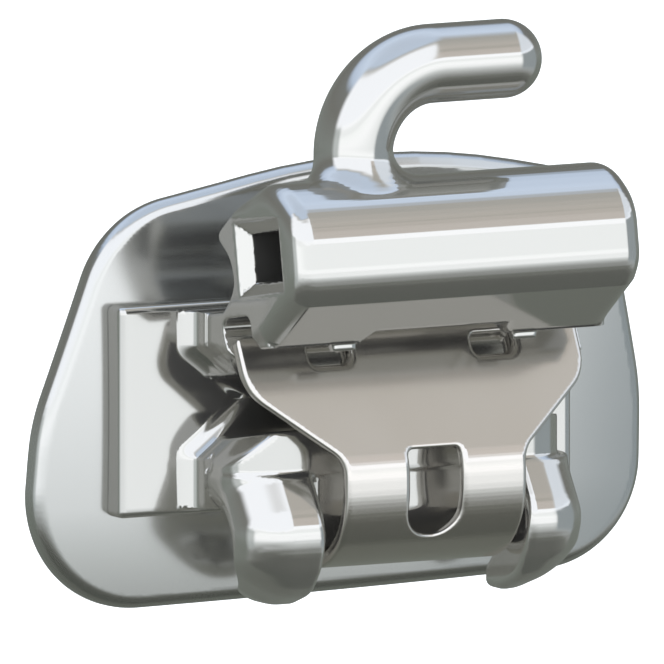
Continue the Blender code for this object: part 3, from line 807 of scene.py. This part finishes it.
# The node tree of a material or a world
class Sheet:
    def __init__(self, owner):
        owner.use_nodes = True
        self.tree = owner.node_tree
        self.tree.nodes.clear()

    # A node of this type: its settings first, such as a ramp's stops, then its sockets' values or links
    def add(self, kind, settings=None, values=None, out=0):
        node = self.tree.nodes.new(kind)
        for key, value in (settings or {}).items():
            if key == "stops":
                elements = node.color_ramp.elements
                while len(elements) < len(value):
                    elements.new(1)
                for element, (place, colour) in zip(elements, value):
                    element.position, element.color = place, (*colour, 1)
            else:
                setattr(node, key, value)
        entries = values.items() if isinstance(values, dict) else enumerate(values or [])
        for key, value in entries:
            if isinstance(value, Wire):
                self.tree.links.new(value.socket, node.inputs[key])
            else:
                node.inputs[key].default_value = value
        return Wire(self, node.outputs[out]) if len(node.outputs) else node

    # Another output of the node that a wire comes from
    def other(self, wire, out):
        return Wire(self, wire.socket.node.outputs[out])

    # A smooth rise from 0 to 1 as a value goes from low to high
    def rise(self, value, low, high):
        settings = {"interpolation_type": "SMOOTHSTEP"}
        return self.add("ShaderNodeMapRange", settings, {0: value, 1: low, 2: high})


# Spread is how far the cloudy roughness ranges, wave the strength of the grain, mesh the pitch of the
# retention mesh in millimetres
steelLook = {
    "castBody": {
        "colour": (0.82, 0.82, 0.81),
        "metal": 0.95,
        "roughness": 0.085,
        "spread": 0.03,
        "wave": 0.005,
    },
    "springSheet": {
        "colour": (0.90, 0.875, 0.85),
        "metal": 0.97,
        "roughness": 0.15,
        "spread": 0.05,
        "wave": 0.03,
    },
    "curvedPad": {
        "colour": (0.80, 0.81, 0.81),
        "metal": 0.97,
        "roughness": 0.17,
        "spread": 0.04,
        "wave": 0.008,
        "mesh": 0.16,
    },
}
grainLook = {
    "cloudScale": 900.0,
    "cloudDetail": 3.0,
    "grainScale": 26000.0,
    "grainDetail": 2.0,
    "grainDepth": 0.004,
    "meshDepth": 0.04,
    "meshRim": (-0.02, -0.004),  # the mesh sets in this far before the bonding face
}


# The retention mesh on the bonding face: two crossed rows of round wires, the higher of the two
# cosines, and nothing on the pad's front and rim
def bondingMesh(sheet, place, pitch):
    across = sheet.add("ShaderNodeSeparateXYZ", {}, [place])
    x, y, z = across / mm, sheet.other(across, 1) / mm, sheet.other(across, 2) / mm
    turn = math.pi / pitch
    upright, level = ((along * turn).math("COSINE").math("ABSOLUTE") for along in (x, z))
    bowl = (x * x + z * z) / (2 * pad["radius"])
    return upright.math("MAXIMUM", level) * sheet.rise(y - bowl, *grainLook["meshRim"])


# Polished steel: faint cloudy roughness, and a very shallow waviness that softens the reflections
def polishedSteel(name, look):
    material = bpy.data.materials.new(name)
    sheet = Sheet(material)
    place = sheet.add("ShaderNodeTexCoord", out=3)

    def noise(scale, detail):
        return sheet.add("ShaderNodeTexNoise", {}, {"Vector": place, "Scale": scale, "Detail": detail})

    cloud = noise(grainLook["cloudScale"], grainLook["cloudDetail"])
    grain = noise(grainLook["grainScale"], grainLook["grainDetail"])
    rough = cloud * look["spread"] + (look["roughness"] - look["spread"] / 2)
    shape = {"Strength": look["wave"], "Distance": grainLook["grainDepth"] * mm, "Height": grain}
    bump = sheet.add("ShaderNodeBump", {}, shape)
    if "mesh" in look:
        weave = bondingMesh(sheet, place, look["mesh"])
        shape = {"Strength": 1.0, "Distance": grainLook["meshDepth"] * mm, "Height": weave, "Normal": bump}
        bump = sheet.add("ShaderNodeBump", {}, shape)
    values = {
        "Base Color": (*look["colour"], 1),
        "Metallic": look["metal"],
        "Roughness": rough,
        "Normal": bump,
    }
    shader = sheet.add("ShaderNodeBsdfPrincipled", {}, values)
    sheet.add("ShaderNodeOutputMaterial", {}, {"Surface": shader})
    return material


for piece in (castBody, springSheet, curvedPad):
    piece.data.materials.append(polishedSteel(piece.name + "Steel", steelLook[piece.name]))
print("materials made")

studio = {
    "azimuth": math.radians(-28),
    "elevation": math.radians(7.5),
    "pictureSide": 664,  # pixels
    "pixelsPerMm": 109,
    "aim": (-0.3624, 0.590),  # the picture's middle from the platform's, to the right and up, in mm
    "distance": 0.08,
    "clip": (0.001, 10),
}


# A camera without perspective, turned by the azimuth and raised by the elevation
def makeCamera():
    turn, rise = studio["azimuth"], studio["elevation"]
    right = Vector((math.cos(turn), math.sin(turn), 0))
    up = Vector((-math.sin(turn) * math.sin(rise), math.cos(turn) * math.sin(rise), math.cos(rise)))
    back = right.cross(up)
    aim = Vector((0, -seatDepth, 0)) + right * studio["aim"][0] + up * studio["aim"][1]
    data = bpy.data.cameras.new("studioCamera")
    data.type = "ORTHO"
    data.ortho_scale = studio["pictureSide"] / studio["pixelsPerMm"] * mm
    data.clip_start, data.clip_end = studio["clip"]
    camera = bpy.data.objects.new("studioCamera", data)
    bpy.context.scene.collection.objects.link(camera)
    turned = Matrix((right, up, back)).transposed().to_4x4()
    camera.matrix_world = Matrix.Translation(aim * mm + back * studio["distance"]) @ turned
    bpy.context.scene.camera = camera


paleFloor = {"height": -0.0075, "reach": 0.6, "tone": (0.9, 0.9, 0.9, 1), "roughness": 0.9, "glow": 0.9}


# A square floor below the bracket, in metres, which glows so that it stays pale
def makeFloor():
    corners = np.array([(-1, -1), (1, -1), (1, 1), (-1, 1)]) * paleFloor["reach"]
    mesh = bpy.data.meshes.new("paleFloor")
    mesh.from_pydata([(x, y, paleFloor["height"]) for x, y in corners], [], [(0, 1, 2, 3)])
    floor = bpy.data.objects.new("paleFloor", mesh)
    bpy.context.scene.collection.objects.link(floor)
    material = bpy.data.materials.new("paleFloor")
    sheet = Sheet(material)
    values = {
        "Base Color": paleFloor["tone"],
        "Roughness": paleFloor["roughness"],
        "Emission Color": (1, 1, 1, 1),
        "Emission Strength": paleFloor["glow"],
    }
    shader = sheet.add("ShaderNodeBsdfPrincipled", {}, values)
    sheet.add("ShaderNodeOutputMaterial", {}, {"Surface": shader})
    mesh.materials.append(material)
    floor.visible_glossy = False


# The room's tones by height, from straight down (0) to straight up (1), in front of the bracket
frontTones = [
    (0.000, (0.040, 0.045, 0.035)),
    (0.150, (0.060, 0.063, 0.052)),
    (0.220, (0.11, 0.115, 0.10)),
    (0.290, (0.26, 0.27, 0.26)),
    (0.360, (0.45, 0.47, 0.46)),
    (0.400, (0.60, 0.62, 0.62)),
    (0.440, (0.81, 0.83, 0.83)),
    (0.500, (0.95, 0.96, 0.97)),
    (0.555, (0.93, 0.95, 0.95)),
    (0.575, (0.83, 0.85, 0.85)),
    (0.603, (0.83, 0.85, 0.85)),
    (0.620, (0.97, 0.98, 1.00)),
    (0.665, (0.95, 0.97, 1.00)),
    (0.680, (0.48, 0.44, 0.40)),
    (0.760, (0.46, 0.42, 0.38)),
    (0.800, (0.36, 0.34, 0.30)),
    (0.850, (0.42, 0.39, 0.35)),
    (0.930, (0.34, 0.33, 0.30)),
    (0.955, (0.46, 0.54, 0.66)),
    (1.000, (0.46, 0.53, 0.64)),
]
# And behind it
backTones = [
    (0.000, (0.075, 0.08, 0.065)),
    (0.400, (0.14, 0.155, 0.135)),
    (0.500, (0.17, 0.185, 0.170)),
    (0.700, (0.13, 0.13, 0.115)),
    (0.820, (0.14, 0.145, 0.135)),
    (0.870, (0.44, 0.52, 0.65)),
    (0.940, (0.55, 0.64, 0.78)),
    (1.000, (0.46, 0.53, 0.64)),
]
# Each pair of numbers says between which values something sets in or fades out. They are parts of the
# unit direction looked in, for the two walls its part sideways over its part ahead, and for the
# bounces the ray's depth
room = {
    "bright": 1.2,
    "wallsFrom": (-0.5, -0.25),
    "wallsTo": (0.22, 0.30),
    "rightWall": (0.57, 0.84),
    "rightWallTone": (0.23, 0.26, 0.27, 1),
    "leftWall": (2.2, 4.0),
    "leftWallShare": 0.75,
    "leftWallTone": (0.30, 0.33, 0.32, 1),
    "leastAhead": 0.02,
    "panelsFrom": (0.22, 0.32),
    "leftPanelTo": (0.78, 0.90),
    "leftPanelEnd": (0.37, 0.42),
    "leftPanelTone": (0.90, 0.92, 0.96, 1),
    "rightPanelStart": (0.50, 0.56),
    "rightPanelShare": 0.8,
    "rightPanelTone": (0.70, 0.76, 0.84, 1),
    "behind": (-0.12, 0.12),
    "bounces": (2.0, 3.0),
    "bounceShare": 0.8,
    "bounceTone": (0.13, 0.13, 0.11, 1),
}


# The room, seen only in reflections: the tones by height, a duller wall on each side of the bright
# front, two soft panels above, and dimmer for a reflection of a reflection. The camera sees white
def makeRoom():
    world = bpy.data.worlds.new("studio")
    bpy.context.scene.world = world
    sheet = Sheet(world)
    place = sheet.add("ShaderNodeTexCoord")
    across = sheet.add("ShaderNodeSeparateXYZ", {}, [place])
    ahead, height = sheet.other(across, 1), sheet.other(across, 2)
    level = height * 0.5 + 0.5
    front = sheet.add("ShaderNodeValToRGB", {"stops": frontTones}, [level])
    behind = sheet.add("ShaderNodeValToRGB", {"stops": backTones}, [level])

    def band(value, name):
        return sheet.rise(value, *room[name])

    def mix(share, one, two):
        return sheet.add("ShaderNodeMixRGB", {}, [share, one, two])

    toward = (0 - ahead).math("MAXIMUM", room["leastAhead"])
    walls = (1 - band(height, "wallsTo")) * band(height, "wallsFrom")
    rightWall = band(across / toward, "rightWall") * walls
    leftWall = band((0 - across) / toward, "leftWall") * walls * room["leftWallShare"]
    tone = mix(rightWall, front, room["rightWallTone"])
    tone = mix(leftWall, tone, room["leftWallTone"])
    high = band(height, "panelsFrom")
    leftPanel = (1 - band(across, "leftPanelEnd")) * high * (1 - band(height, "leftPanelTo"))
    rightPanel = band(across, "rightPanelStart") * high * room["rightPanelShare"]
    tone = mix(leftPanel, tone, room["leftPanelTone"])
    tone = mix(rightPanel, tone, room["rightPanelTone"])
    tone = mix(band(ahead, "behind"), tone, behind)
    path = sheet.add("ShaderNodeLightPath")
    again = band(sheet.other(path, "Ray Depth"), "bounces") * room["bounceShare"]
    tone = mix(again, tone, room["bounceTone"])
    reflected = sheet.add("ShaderNodeBackground", {}, {"Color": tone, "Strength": room["bright"]})
    plain = sheet.add("ShaderNodeBackground", {}, {"Color": (1, 1, 1, 1), "Strength": 1.0})
    both = sheet.add("ShaderNodeMixShader", {}, {0: path, 1: reflected, 2: plain})
    sheet.add("ShaderNodeOutputWorld", {}, {"Surface": both})


keyBox = {"place": (-30, -60, 50), "width": 30, "height": 20, "power": 0.012}


# A lamp box that faces the bracket and isn't mirrored in it
def softBox(name, lamp):
    light = bpy.data.lights.new(name, "AREA")
    light.shape, light.size, light.size_y = "RECTANGLE", lamp["width"] * mm, lamp["height"] * mm
    light.energy = lamp["power"]
    box = bpy.data.objects.new(name, light)
    bpy.context.scene.collection.objects.link(box)
    spot = Vector(lamp["place"]) * mm
    box.visible_glossy = False
    box.matrix_world = Matrix.Translation(spot) @ spot.to_track_quat("Z", "Y").to_matrix().to_4x4()


makeCamera()
makeFloor()
makeRoom()
softBox("keyBox", keyBox)
bpy.context.scene.view_settings.view_transform = "Standard"
print("studio made")
